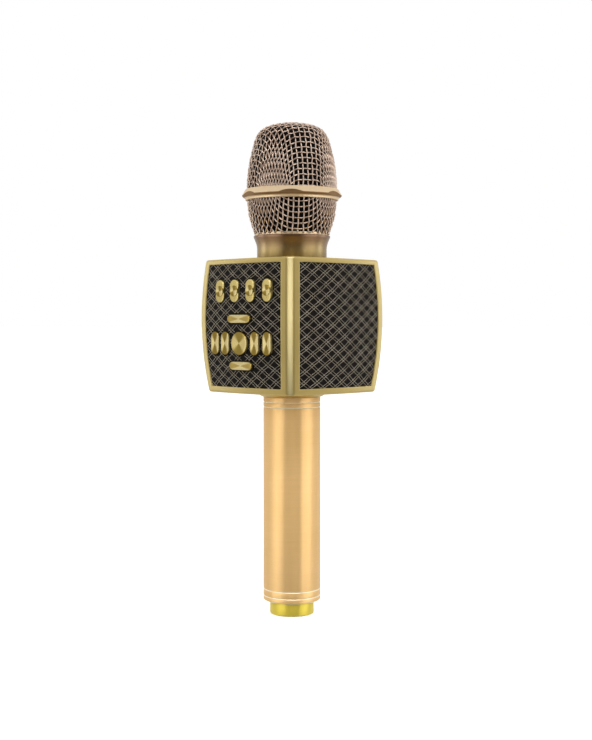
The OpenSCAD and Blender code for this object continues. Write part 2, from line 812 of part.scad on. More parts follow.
// sleeve bored for the cell and its raised end, with a slot along its +Y side
module battery_sleeve() {
  color("#202428") difference() {
    translate([0, 0, sleeve_z0]) cylinder(r = 12.9, h = sleeve_h, $fn = 96);
    translate([0, 0, 20]) cylinder(r = 9.4, h = 71.5, $fn = 72);
    translate([0, 0, 91]) cylinder(r = 4, h = 1.2, $fn = 48);
    translate([-3, 9.5, 20]) cube([6, 4, 80]);
  }
}

grille_upper();
grille_lower();
grille_band();
grille_base_ring();
foam_liner();
head_gasket();
neck_collar();
collar_screws();
capsule_post();
capsule_mount();
mic_capsule();
box_frame();
bottom_cover();
front_panel();
right_grille();
left_grille();
rear_grille();
speaker_chassis();
cover_screws();
control_pcb();
tact_switches();
rocker_bracket();
rocker_shaft();
rocker_volume();
rocker_echo();
rocker_treble();
rocker_bass();
button_mode();
button_play();
button_previous();
button_record();
button_power();
button_accompany();
button_next();
main_pcb();
pcb_components();
usb_port();
audio_jack();
card_slot();
wiring();
right_speaker_basket();
right_speaker_magnet();
right_speaker_coil();
right_speaker_cone();
right_speaker_surround();
left_speaker_basket();
left_speaker_magnet();
left_speaker_coil();
left_speaker_cone();
left_speaker_surround();
bass_diaphragm();
bass_surround();
handle_tube();
tail_bushing();
tail_cap();
tail_oring();
battery_spring();
battery_cell();
battery_sleeve();
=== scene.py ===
import json
import math

import bpy
import numpy as np
from mathutils import Matrix, Vector


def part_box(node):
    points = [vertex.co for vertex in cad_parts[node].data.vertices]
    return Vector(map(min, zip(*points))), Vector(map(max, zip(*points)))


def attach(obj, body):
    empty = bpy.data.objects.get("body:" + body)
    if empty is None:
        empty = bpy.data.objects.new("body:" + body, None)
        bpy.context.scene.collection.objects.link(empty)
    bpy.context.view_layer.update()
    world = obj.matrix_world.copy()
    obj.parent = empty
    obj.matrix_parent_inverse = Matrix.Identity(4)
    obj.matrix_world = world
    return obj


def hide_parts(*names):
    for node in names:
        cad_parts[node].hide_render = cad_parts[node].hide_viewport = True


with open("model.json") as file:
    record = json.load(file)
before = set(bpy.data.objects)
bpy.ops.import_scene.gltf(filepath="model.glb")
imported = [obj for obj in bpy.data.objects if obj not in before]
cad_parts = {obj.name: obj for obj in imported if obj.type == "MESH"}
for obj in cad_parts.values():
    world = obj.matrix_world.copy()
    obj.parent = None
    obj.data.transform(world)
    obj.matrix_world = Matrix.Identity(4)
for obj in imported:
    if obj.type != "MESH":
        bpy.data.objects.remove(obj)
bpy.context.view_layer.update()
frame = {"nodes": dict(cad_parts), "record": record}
NODES = frame["nodes"]
BODY_OF = {node: body for body, nodes in frame["record"]["behaviour"]["bodies"].items()
           for node in nodes}
MM = 0.001

# box faces, in mm: each is part of a sphere bulging outwards
FACE_CENTRE_Z = 158.2
FACE_RADIUS = 229.0
BOX_HALF_WIDTH = 38.0
SPHERE_CENTRE = BOX_HALF_WIDTH - FACE_RADIUS    # along the face's outward direction

# opening in each face, in mm: straight top and bottom, curved sides
OPENING_BOTTOM, OPENING_TOP = 122.0, 186.5
OPENING_SIDE_RADIUS = 261.5
OPENING_HALF_WIDTH = 29.15

# wire head, in mm: outer profiles as (radius, z), from the bottom up
LOWER_BASKET = [
    (20.45, 202.35), (20.75, 203.9), (21.1, 205.5), (21.9, 207.7), (22.6, 209.8),
    (23.1, 212), (23.55, 214.1), (23.8, 216.3), (24.0, 218.4), (24.2, 222.1),
]
UPPER_BASKET = [
    (24.3, 225.9), (24.3, 231.3), (24.1, 233.5), (23.9, 235.6), (23.66, 237.8), (23.35, 239.9),
    (23.0, 242.1), (22.6, 244.2), (22.05, 246.4), (21.5, 248.5), (21.0, 250.7), (20.4, 252.8),
    (19.6, 255), (18.4, 257.2), (17.2, 258.6), (15.6, 259.9), (13.0, 261.1), (9.8, 262.0),
    (6.6, 262.6), (3.4, 262.9), (0, 263),
]
HEAD_WIRE_RADIUS = 0.37
HEAD_CELL = 2.93                            # mesh size of the cloth
CLOTH_INSET = HEAD_WIRE_RADIUS * 1.85       # outer profile to the middle of the cloth

PUSH_KEYS = ["button_mode", "button_play", "button_previous", "button_record", "button_power",
             "button_accompany", "button_next"]
ROCKER_KEYS = ["rocker_volume", "rocker_echo", "rocker_treble", "rocker_bass"]

CAMERA_AZIMUTH = 46.1                       # degrees from -Y towards +X
STUDIO_AZIMUTH = math.radians(45)           # the floor and the reflections are lined up to this


# ------------------------------------------------------------------------------- mesh helpers
def link_mesh(name, mesh):
    mesh.polygons.foreach_set("use_smooth", [True] * len(mesh.polygons))
    obj = bpy.data.objects.new(name, mesh)
    bpy.context.scene.collection.objects.link(obj)
    return obj


def add_mesh(name, verts, faces):
    """Smooth mesh with faces of any size; verts in metres."""
    mesh = bpy.data.meshes.new(name)
    mesh.from_pydata(verts, [], faces)
    mesh.update()
    return link_mesh(name, mesh)


def add_quads(name, verts, quads):
    """Fast smooth mesh from arrays: verts (n, 3) in metres, quads (m, 4)."""
    mesh = bpy.data.meshes.new(name)
    count = len(quads)
    mesh.vertices.add(len(verts))
    mesh.vertices.foreach_set("co", np.asarray(verts, np.float32).ravel())
    mesh.loops.add(4 * count)
    mesh.loops.foreach_set("vertex_index", np.asarray(quads, np.int32).ravel())
    mesh.polygons.add(count)
    mesh.polygons.foreach_set("loop_start", np.arange(0, 4 * count, 4, dtype=np.int32))
    mesh.polygons.foreach_set("loop_total", np.full(count, 4, np.int32))
    mesh.update(calc_edges=True)
    mesh.validate()
    return link_mesh(name, mesh)


def hand_over(obj, material, body, replaces=None):
    obj.data.materials.append(material)
    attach(obj, body)
    if replaces:
        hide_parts(replaces)


def turn_about_z(angle):
    c, s = math.cos(angle), math.sin(angle)
    return np.array([[c, -s, 0], [s, c, 0], [0, 0, 1]])


def true_runs(mask):
    """(start, stop) of each unbroken run of True."""
    changes = np.flatnonzero(np.diff(np.concatenate([[0], mask, [0]])))
    return zip(changes[::2], changes[1::2])


def unit(vectors):
    return vectors / np.maximum(np.linalg.norm(vectors, axis=-1, keepdims=True), 1e-12)


class Tubes:
    """Collects round wires, in mm, and makes them one mesh. sides must be even."""

    def __init__(self, sides):
        self.sides = sides
        self.verts = []
        self.quads = []
        self.count = 0

    def add(self, path, radius, up, flat=1.0):
        """path (n, 3); up (n, 3) is a cross direction at each point; flat squeezes along up."""
        sides, points = self.sides, len(path)
        along = unit(np.gradient(path, axis=0))
        across = unit(np.cross(along, up))
        raised = np.cross(across, along)
        angle = (np.arange(sides) * 2 * np.pi / sides)[None, :, None]
        rings = path[:, None, :] + radius * (np.cos(angle) * across[:, None, :]
                                             + flat * np.sin(angle) * raised[:, None, :])
        self.verts.append(rings.reshape(-1, 3))

        first = self.count
        ring = first + np.arange(points - 1)[:, None] * sides
        j = np.arange(sides)[None, :]
        j_next = (j + 1) % sides
        wall = np.stack([ring + j, ring + j_next, ring + sides + j_next, ring + sides + j], -1)
        self.quads.append(wall.reshape(-1, 4))
        for start, step in ((first, -1), (first + (points - 1) * sides, 1)):
            for c in range(1, sides - 2, 2):
                cap = [start, start + c, start + c + 1, start + c + 2]
                self.quads.append(np.array([cap[::step]]))
        self.count += points * sides

    def build(self, name, rotation=np.eye(3)):
        verts = (np.concatenate(self.verts) @ rotation.T) * MM
        return add_quads(name, verts, np.concatenate(self.quads))


# ----------------------------------------------------------------------------- shader helpers
def hex_rgb(code):
    """sRGB hex to linear."""
    channels = [int(code[i:i + 2], 16) / 255 for i in (0, 2, 4)]
    return tuple(c / 12.92 if c <= 0.04045 else ((c + 0.055) / 1.055) ** 2.4 for c in channels)


class Shader:
    """A new material with short ways to add nodes; lengths in its nodes are metres."""

    def __init__(self, name):
        self.material = bpy.data.materials.new(name)
        self.material.use_nodes = True
        self.tree = self.material.node_tree
        self.principled = self.tree.nodes["Principled BSDF"]
        self.coord = self.new("ShaderNodeTexCoord")

    def new(self, kind, **settings):
        node = self.tree.nodes.new(kind)
        for key, value in settings.items():
            setattr(node, key, value)
        return node

    def put(self, socket, value):
        """Links a socket or sets a plain value; RGB gets an alpha of 1."""
        if isinstance(value, bpy.types.NodeSocket):
            self.tree.links.new(value, socket)
        elif isinstance(value, tuple) and len(value) == 3:
            socket.default_value = (*value, 1)
        else:
            socket.default_value = value

    def surface(self, name, value):
        self.put(self.principled.inputs[name], value)

    def math(self, operation, *values):
        node = self.new("ShaderNodeMath", operation=operation)
        for socket, value in zip(node.inputs, values):
            self.put(socket, value)
        return node.outputs[0]

    def noise(self, scale, detail, roughness=0.5, vector=None):
        node = self.new("ShaderNodeTexNoise")
        node.inputs["Scale"].default_value = scale
        node.inputs["Detail"].default_value = detail
        node.inputs["Roughness"].default_value = roughness
        self.put(node.inputs["Vector"], vector or self.coord.outputs["Object"])
        return node.outputs["Fac"]

    def grain(self, size_mm, detail):
        return self.noise(1000 / size_mm, detail)

    def remap(self, value, source, target=(0.0, 1.0)):
        """Maps the source range to the target range, held at its ends."""
        node = self.new("ShaderNodeMapRange")
        self.put(node.inputs["Value"], value)
        node.inputs["From Min"].default_value, node.inputs["From Max"].default_value = source
        node.inputs["To Min"].default_value, node.inputs["To Max"].default_value = target
        return node.outputs["Result"]

    def mix(self, factor, first, second):
        node = self.new("ShaderNodeMix", data_type="RGBA", blend_type="MIX")
        factor_at, first_at, second_at = 0, 6, 7    # the sockets used for colours
        self.put(node.inputs[factor_at], factor)
        self.put(node.inputs[first_at], first)
        self.put(node.inputs[second_at], second)
        return node.outputs[2]

    def bump(self, height, strength, normal=None):
        node = self.new("ShaderNodeBump")
        node.inputs["Strength"].default_value = strength
        node.inputs["Distance"].default_value = 0.00005
        self.put(node.inputs["Height"], height)
        if normal is not None:
            self.put(node.inputs["Normal"], normal)
        self.surface("Normal", node.outputs["Normal"])

    def bevel(self, radius, samples):
        node = self.new("ShaderNodeBevel", samples=samples)
        node.inputs["Radius"].default_value = radius
        return node.outputs["Normal"]

    def split(self, vector):
        """X, Y and Z of a vector."""
        node = self.new("ShaderNodeSeparateXYZ")
        self.put(node.inputs[0], vector)
        return node.outputs["X"], node.outputs["Y"], node.outputs["Z"]

    def position(self):
        return self.split(self.coord.outputs["Object"])

    def normal(self):
        return self.split(self.new("ShaderNodeNewGeometry").outputs["Normal"])

    def radius(self, x, y):
        squares = self.math("MULTIPLY", x, x), self.math("MULTIPLY", y, y)
        return self.math("SQRT", self.math("ADD", *squares))

    def edge(self):
        """1 on sharp edges, 0 on flats."""
        rounded = self.bevel(radius=0.0004, samples=4)
        geometry = self.new("ShaderNodeNewGeometry")
        dot = self.new("ShaderNodeVectorMath", operation="DOT_PRODUCT")
        self.put(dot.inputs[0], rounded)
        self.put(dot.inputs[1], geometry.outputs["Normal"])
        return self.remap(dot.outputs["Value"], (0.9, 0.995), (1.0, 0.0))

    def turned_highlight(self, amount):
        """Stretches highlights as on a part turned about Z."""
        self.surface("Anisotropic", amount)
        self.surface("Anisotropic Rotation", 0.25)
        tangent = self.new("ShaderNodeTangent", direction_type="RADIAL", axis="Z")
        self.surface("Tangent", tangent.outputs[0])


def metal(name, base, dark, rough, bump, grain_mm=0.2, clouding=0.48, brushed=False, aniso=0.0,
          edge=None, metallic=1.0, specular=None, rounding=None, finish=None):
    """Metal clouded from base to dark, with fine grain in its bump and roughness.
    brushed draws fine rings about Z; edge is how far sharp edges turn pale; rounding is a
    shaded edge radius. finish(shader, colour, metallic) may change the last two by place."""
    shader = Shader(name)
    base = hex_rgb(base)
    cloud = shader.noise(60, detail=3)
    height = shader.grain(grain_mm, detail=2)
    colour = shader.mix(shader.remap(cloud, (0.35, 0.65), (0, clouding)), base, hex_rgb(dark))
    if brushed:
        x, y, z = shader.position()
        rings = shader.new("ShaderNodeCombineXYZ")
        angle = shader.math("ARCTAN2", y, x)
        shader.put(rings.inputs[0], shader.math("MULTIPLY", angle, 0.6))
        shader.put(rings.inputs[1], shader.math("MULTIPLY", shader.radius(x, y), 6000))
        shader.put(rings.inputs[2], shader.math("MULTIPLY", z, 6000))
        lines = shader.noise(1.0, detail=4, roughness=0.6, vector=rings.outputs[0])
        height = shader.math("ADD", shader.math("MULTIPLY", lines, 0.8),
                             shader.math("MULTIPLY", height, 0.2))
        colour = shader.mix(shader.remap(lines, (0.3, 0.7), (0.0, 0.35)), colour,
                            tuple(c * 0.82 for c in base))
    if edge is not None:
        pale = tuple(min(1, c * 1.35 + 0.05) for c in base)
        colour = shader.mix(shader.math("MULTIPLY", shader.edge(), edge), colour, pale)
    if finish:
        colour, metallic = finish(shader, colour, metallic)
    shader.surface("Metallic", metallic)
    if specular is not None:
        shader.surface("Specular IOR Level", specular)
    shader.surface("Base Color", colour)
    shader.surface("Roughness", shader.remap(height, (0.3, 0.7), (rough * 0.88, rough * 1.12)))
    shader.bump(height, bump, shader.bevel(rounding, samples=8) if rounding else None)
    if aniso:
        shader.turned_highlight(aniso)
    return shader.material


def painted_corner_highlight(shader, colour, metallic):
    """Painted highlight: the box's narrow corner strips, whose normals are diagonal, are painted
    paler and made less metallic to stand in for the light along them.
    """
    nx, ny, _ = shader.normal()
    diagonal = shader.math("ABSOLUTE", shader.math("MULTIPLY", shader.math("MULTIPLY", nx, ny),
                                                   2.0))
    x, y, _ = shader.position()
    across = shader.math("ABSOLUTE", shader.math("SUBTRACT", shader.math("ABSOLUTE", x),
                                                 shader.math("ABSOLUTE", y)))
    near = shader.remap(across, (0.0, 0.0029), (0.85, 0.0))
    mask = shader.math("MULTIPLY", shader.remap(diagonal, (0.3, 0.9)), near)
    # the pale cream on the corner strips is a painted highlight
    return (shader.mix(mask, colour, hex_rgb("eadca6")),
            shader.remap(mask, (0.0, 1.0), (metallic, 0.35)))


def painted_shade_on_band_flats(shader, colour, metallic):
    """Painted shade: the band is darker above its bottom edge, except where it faces upwards, in
    place of the dim reflection on its flats.
    """
    not_upward = shader.remap(shader.normal()[2], (0.12, 0.26), (1.0, 0.0))
    above_edge = shader.remap(shader.position()[2], (0.2225, 0.2227))
    mask = shader.math("MULTIPLY", not_upward, above_edge)
    # the dark brown is painted shade
    return shader.mix(mask, colour, hex_rgb("8e6e48")), metallic


def bright_grooves(shader, colour, metallic):
    """Ring grooves just below the handle's surface are bright."""
    surface_radius = 0.0153
    x, y, _ = shader.position()
    radius = shader.radius(x, y)
    below_surface = shader.remap(
        radius, (surface_radius - 0.00010, surface_radius - 0.00002), (1.0, 0.0))
    above_bore = shader.remap(radius, (surface_radius - 0.0008, surface_radius - 0.0006))
    mask = shader.math("MULTIPLY", below_surface, above_bore)
    return shader.mix(mask, colour, hex_rgb("fff4d8")), metallic


def painted_shade_at_collar_top(shader, colour, metallic):
    """Painted shade: the collar turns browner and darker towards its top."""
    mask = shader.remap(shader.position()[2], (0.1935, 0.2015))
    # the brown towards the top is painted shade
    return shader.mix(mask, colour, hex_rgb("745a46")), metallic


def plastic(name, base, rough, bump, grain_mm=0.15, specular=0.4, sheen=0.0):
    """Plastic clouded by a tenth either way, with fine grain in its bump and roughness."""
    shader = Shader(name)
    base = hex_rgb(base)
    cloud = shader.noise(90, detail=3)
    grain = shader.grain(grain_mm, detail=3)
    darker = tuple(c * 0.9 for c in base)
    paler = tuple(min(1, c * 1.1) for c in base)
    shader.surface("Base Color", shader.mix(shader.remap(cloud, (0.3, 0.7)), darker, paler))
    shader.surface("Roughness",
                   shader.remap(grain, (0.3, 0.7), (rough * 0.9, min(1, rough * 1.1))))
    shader.surface("Specular IOR Level", specular)
    shader.bump(grain, bump)
    shader.surface("Sheen Weight", sheen)
    return shader.material


def weave_metal():
    """Wire of the woven lattices in the box's faces."""
    shader = Shader("weave_wire")
    cloud = shader.noise(260, detail=2)
    streak = shader.noise(1500, detail=2)
    shader.surface("Base Color", shader.mix(shader.remap(cloud, (0.3, 0.7)),
                                            hex_rgb("cac0ae"), hex_rgb("9e9482")))
    shader.surface("Metallic", 0.75)
    shader.surface("Roughness", shader.remap(streak, (0.3, 0.7), (0.34, 0.5)))
    shader.bump(streak, 0.15)
    return shader.material


def spun_metal_painted_sheen(name, half_width, half_height, turn=0.0, swap=False, sector_shade="846e2e", sector_highlight="d6c488"):
    """Key top with rings round its middle and painted light and dark sectors, a painted
    reflection standing in for the bow-tie highlight of a spun top. The half sizes set the
    sectors' proportions, turn swings them (radians), and swap exchanges light and dark."""
    shader = Shader(name)
    x, y, _ = shader.position()
    angle = shader.math("ARCTAN2", y, x)
    ring_vector = shader.new("ShaderNodeCombineXYZ")
    shader.put(ring_vector.inputs[0], shader.math("MULTIPLY", angle, 0.5))
    shader.put(ring_vector.inputs[1], shader.math("MULTIPLY", shader.radius(x, y), 9000))
    rings = shader.noise(1.0, detail=3, roughness=0.6, vector=ring_vector.outputs[0])
    sector_angle = shader.math("ARCTAN2", shader.math("DIVIDE", y, half_height),
                               shader.math("DIVIDE", x, half_width))
    doubled = shader.math("MULTIPLY", shader.math("ADD", sector_angle, turn), 2.0)
    wave = shader.math("COSINE", doubled)
    if swap:
        wave = shader.math("MULTIPLY", wave, -1.0)
    painted_sector = shader.remap(wave, (-0.42, 0.42))
    # painted reflection: the light and dark sectors are painted into the colour and the metallic
    colour = shader.mix(painted_sector, hex_rgb(sector_shade), hex_rgb(sector_highlight))
    colour = shader.mix(shader.remap(rings, (0.3, 0.7), (0.0, 0.25)), colour, hex_rgb("8c7428"))
    shader.surface("Base Color", colour)
    shader.surface("Metallic", shader.remap(painted_sector, (0.0, 1.0), (0.95, 0.65)))
    shader.surface("Roughness", shader.remap(rings, (0.3, 0.7), (0.26, 0.36)))
    shader.bump(rings, 0.10)
    shader.turned_highlight(0.6)
    return shader.material


# ---------------------------------------------------------------------------------- materials
# keyed by the CAD pieces' material slots, with a few more for the detailed pieces
MATERIALS = {
    # box_gold has a painted highlight on its corner strips
    "box_gold": metal("box_gold", "ccb46e", "bca45e", rough=0.42, bump=0.06, grain_mm=0.16,
                      clouding=0.32, edge=0.5, metallic=0.8, rounding=0.0009,
                      finish=painted_corner_highlight),
    # the collar has painted shade towards its top
    "collar_gold": metal("collar_gold", "9c885c", "6a563a", rough=0.41, bump=0.05, brushed=True,
                         aniso=0.6, finish=painted_shade_at_collar_top),
    "handle_gold": metal("handle_gold", "f3c98a", "e9bf7c", rough=0.45, bump=0.03, brushed=True,
                         aniso=0.4, metallic=0.5, specular=0.2, finish=bright_grooves),
    "tail_gold": metal("tail_gold", "f2dc58", "e4ca42", rough=0.42, bump=0.04, brushed=True,
                       aniso=0.4, metallic=0.4, specular=0.3),
    "mesh": metal("mesh_wire", "c8b4a4", "ac9484", rough=0.32, bump=0.12, grain_mm=0.3,
                  clouding=0.8),
    # the band has painted shade on its flats
    "band": metal("band_metal", "e8d0ac", "dac09a", rough=0.55, bump=0.08, grain_mm=0.12,
                  clouding=0.32, edge=0.3, metallic=0.7, finish=painted_shade_on_band_flats),
    "steel": metal("zinc_steel", "b4b4b0", "8c8c88", rough=0.32, bump=0.15),
    "brass": metal("turned_brass", "b89858", "8c7038", rough=0.3, bump=0.15, brushed=True),
    "magnet": metal("magnet_iron", "5c5c60", "404044", rough=0.5, bump=0.3),
    "copper": metal("copper_wire", "b86c3c", "8c4c24", rough=0.35, bump=0.3, brushed=True),
    "black_plastic": plastic("black_plastic", "1c1c1c", rough=0.5, bump=0.3),
    "rubber": plastic("rubber", "161616", rough=0.75, bump=0.3, grain_mm=0.1),
    "circuit_board": plastic("circuit_board", "14502c", rough=0.35, bump=0.1, grain_mm=0.5),
    "cable": plastic("cable", "7c2418", rough=0.5, bump=0.1),
    "cone_paper": plastic("cone_paper", "222222", rough=0.8, bump=0.5, grain_mm=0.4),
    "cell_wrap": plastic("cell_wrap", "2c5c98", rough=0.3, bump=0.05),
    "panel_weave": plastic("panel_black", "140e09", rough=0.7, bump=0.2, grain_mm=0.12,
                           specular=0.2),
    "foam": plastic("foam_black", "120f0e", rough=0.95, bump=1.0, grain_mm=0.35, specular=0.1,
                    sheen=0.05),
    "weave": weave_metal(),
    # the four spun key tops carry painted reflections in light and dark sectors
    "spun_tall": spun_metal_painted_sheen("spun_tall", half_width=3.0, half_height=6.0),
    "spun_wide": spun_metal_painted_sheen("spun_wide", half_width=8.7, half_height=2.2, swap=True,
                            sector_shade="a08a4c", sector_highlight="dccc92"),
    "spun_round": spun_metal_painted_sheen("spun_round", half_width=6.0, half_height=6.0, turn=0.12,
                             sector_shade="8e7a38", sector_highlight="ccb878"),
    "spun_hub": spun_metal_painted_sheen("spun_hub", half_width=3.3, half_height=3.3, turn=0.55),
    "key_gold": metal("key_gold", "c8b674", "b49e58", rough=0.30, bump=0.05, clouding=0.4,
                      metallic=0.8),
}

for subpart in frame["record"]["subparts"]:
    slots = NODES[subpart["node"]].data.materials
    slots.clear()
    slots.append(MATERIALS[subpart["material_slot"]])


# ------------------------------------------------------------------------------ woven lattice
LATTICE_PERIOD_X, LATTICE_PERIOD_Z = 8.75, 5.9      # mm
BAND_WIRES = (-0.14, 0.14)      # places of a band's two wires, in periods
LATTICE_WIRE_RADIUS = 0.15
LATTICE_WIRE_FLAT = 0.75        # thickness of a wire over its width
LATTICE_LIFT = 0.117            # how far a band rises or sinks at a crossing, mm
LATTICE_INSET = 0.5             # face surface to the lattice's ground
LATTICE_GAP = 0.05              # ground to the wires
KEY_CLEARANCE = 0.42
OPENING_OVERLAP = 0.25          # wires run this far under the opening's sides
PUSH_KEY_FLANGE = 1.0           # a push key's CAD node is this much larger than its cap


def measure_key(node):
    """Centre x, centre z, width, height and front y of a key, in mm."""
    lo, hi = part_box(node)
    width, height = (hi.x - lo.x) / MM, (hi.z - lo.z) / MM
    if node in PUSH_KEYS:
        width, height = width - PUSH_KEY_FLANGE, height - PUSH_KEY_FLANGE
    return (lo.x + hi.x) / 2 / MM, (lo.z + hi.z) / 2 / MM, width, height, lo.y / MM


KEYS = {node: measure_key(node) for node in PUSH_KEYS + ROCKER_KEYS}


def lattice_ground(x, z):
    """Distance of the lattice's ground from the box's axis."""
    radius = FACE_RADIUS - LATTICE_INSET
    return np.sqrt(radius ** 2 - x * x - (z - FACE_CENTRE_Z) ** 2) + SPHERE_CENTRE


def opening_half_width(z):
    bulge = np.sqrt(OPENING_SIDE_RADIUS ** 2 - (z - FACE_CENTRE_Z) ** 2)
    return bulge - (OPENING_SIDE_RADIUS - OPENING_HALF_WIDTH)


def near_key(x, z, key):
    """True where (x, z) is inside the key's stadium outline grown by the clearance."""
    centre_x, centre_z, width, height, _ = key
    dx = np.maximum(0.0, abs(x - centre_x) - max(width - height, 0.0) / 2)
    dz = np.maximum(0.0, abs(z - centre_z) - max(height - width, 0.0) / 2)
    return dx * dx + dz * dz < (min(width, height) / 2 + KEY_CLEARANCE) ** 2


def lattice(name, quarter_turns, holes, shift_x, shift_z):
    """Diagonal bands of two fine wires woven over one face, made at the front and turned
    about Z. shift_x, shift_z: place of the pattern in the opening, in mm."""
    tubes = Tubes(6)
    centre_z = (OPENING_BOTTOM + OPENING_TOP) / 2 + shift_z
    z = np.arange(OPENING_BOTTOM - 0.3, OPENING_TOP + 0.31, 0.5)
    rise = (z - centre_z) / LATTICE_PERIOD_Z
    limit = opening_half_width(z) + OPENING_OVERLAP
    for slant in (1, -1):
        for band in range(-12, 13):
            for wire in BAND_WIRES:
                x = LATTICE_PERIOD_X * (band + wire - slant * rise) + shift_x
                # the weave's phase runs along the crossing bands
                crossing = (x - shift_x) / LATTICE_PERIOD_X - slant * rise
                wave = np.cos(2 * np.pi * (crossing / 2.0 + band / 2.0))
                lift = LATTICE_LIFT * np.clip(wave * 1.8, -1, 1) * slant
                out = (lattice_ground(x, z) + LATTICE_GAP
                       + LATTICE_WIRE_RADIUS * LATTICE_WIRE_FLAT + lift)
                shown = abs(x) <= limit
                for key in holes:
                    shown &= ~near_key(x, z, key)
                path = np.column_stack([x, -out, z])
                for start, stop in true_runs(shown):
                    if stop - start >= 2:
                        up = np.tile([0, -1.0, 0], (stop - start, 1))
                        tubes.add(path[start:stop], LATTICE_WIRE_RADIUS, up, LATTICE_WIRE_FLAT)
    obj = tubes.build(name, turn_about_z(quarter_turns * math.pi / 2))
    hand_over(obj, MATERIALS["weave"], "housing")
    return obj


LATTICES = [
    lattice("front_lattice", 0, list(KEYS.values()), shift_x=1.97, shift_z=3.65),
    lattice("right_lattice", 1, [], shift_x=-2.5, shift_z=3.25),
    lattice("rear_lattice", 2, [], shift_x=0.0, shift_z=3.0),
    lattice("left_lattice", 3, [], shift_x=1.2, shift_z=3.4),
]

# ---------------------------------------------------------------------------------- wire head
# relaxing the cloth: lengths in mm, forces in mm of push per mm of error
RELAX_STEPS = 1500
EDGE_PULL = 0.22            # keeps each cell edge its length
DIAGONAL_PUSH = 0.12        # keeps cells from closing up
DIAGONAL_REST = HEAD_CELL * (0.42 + 0.25)   # diagonals shorter than this are pushed apart
BEND_STIFFNESS = 0.45
DAMPING = 0.9
LONGEST_MOVE = 0.4
CRIMP = HEAD_WIRE_RADIUS * 0.82             # how far a wire rises or sinks at a crossing
POINTS_PER_CELL = 5


def catmull_rom(before, start, end, after, u):
    return 0.5 * ((2 * start) + (-before + end) * u
                  + (2 * before - 5 * start + 4 * end - after) * u * u
                  + (-before + 3 * start - 3 * end + after) * u ** 3)


def extend_ends(points):
    """Adds a mirrored point beyond each end."""
    return np.vstack([2 * points[0] - points[1], points, 2 * points[-1] - points[-2]])


def smooth_profile(profile, step=0.25):
    """Rounds a profile and resamples it: arc lengths, radii, heights."""
    points = extend_ends(np.array(profile, float))
    curve = [catmull_rom(*points[i - 1:i + 3], u) for i in range(1, len(points) - 2)
             for u in np.linspace(0, 1, 24, endpoint=False)]
    curve = np.array(curve + [points[-2]])
    length = np.concatenate([[0], np.cumsum(np.linalg.norm(np.diff(curve, axis=0), axis=1))])
    arc = np.linspace(0, length[-1], int(length[-1] / step) + 1)
    radius = np.interp(arc, length, curve[:, 0])
    return arc, np.maximum(radius, 0), np.interp(arc, length, curve[:, 1])


def project(points, radius, height):
    """Nearest points on the turned surface, and its normals there."""
    point_r, point_z = np.hypot(points[..., 0], points[..., 1]), points[..., 2]
    distance = (point_r[..., None] - radius[::3]) ** 2 + (point_z[..., None] - height[::3]) ** 2
    k = np.clip(np.argmin(distance, -1) * 3, 3, len(radius) - 4)
    before = np.stack([radius[k - 3], height[k - 3]], -1)
    middle = np.stack([radius[k], height[k]], -1)
    after = np.stack([radius[k + 3], height[k + 3]], -1)
    flat = np.stack([point_r, point_z], -1)

    def nearest(start, end):
        edge = end - start
        along = ((flat - start) * edge).sum(-1) / np.maximum((edge * edge).sum(-1), 1e-12)
        found = start + edge * np.clip(along, 0, 1)[..., None]
        return found, ((flat - found) ** 2).sum(-1)

    first, first_distance = nearest(before, middle)
    second, second_distance = nearest(middle, after)
    found = np.where((first_distance < second_distance)[..., None], first, second)
    along = after - before
    normal = unit(np.stack([along[..., 1], -along[..., 0]], -1))
    angle = np.arctan2(points[..., 1], points[..., 0])

    def about_axis(pair):
        return np.stack([pair[..., 0] * np.cos(angle), pair[..., 0] * np.sin(angle),
                         pair[..., 1]], -1)

    return about_axis(found), about_axis(normal)


def neighbour_slices(size, di, dj):
    """Two index pairs into a size by size grid that differ by (di, dj)."""
    if dj >= 0:
        return ((slice(0, size - di), slice(0, size - dj)),
                (slice(di, size), slice(dj, size)))
    return ((slice(0, size - di), slice(1, size)),
            (slice(di, size), slice(0, size - 1)))


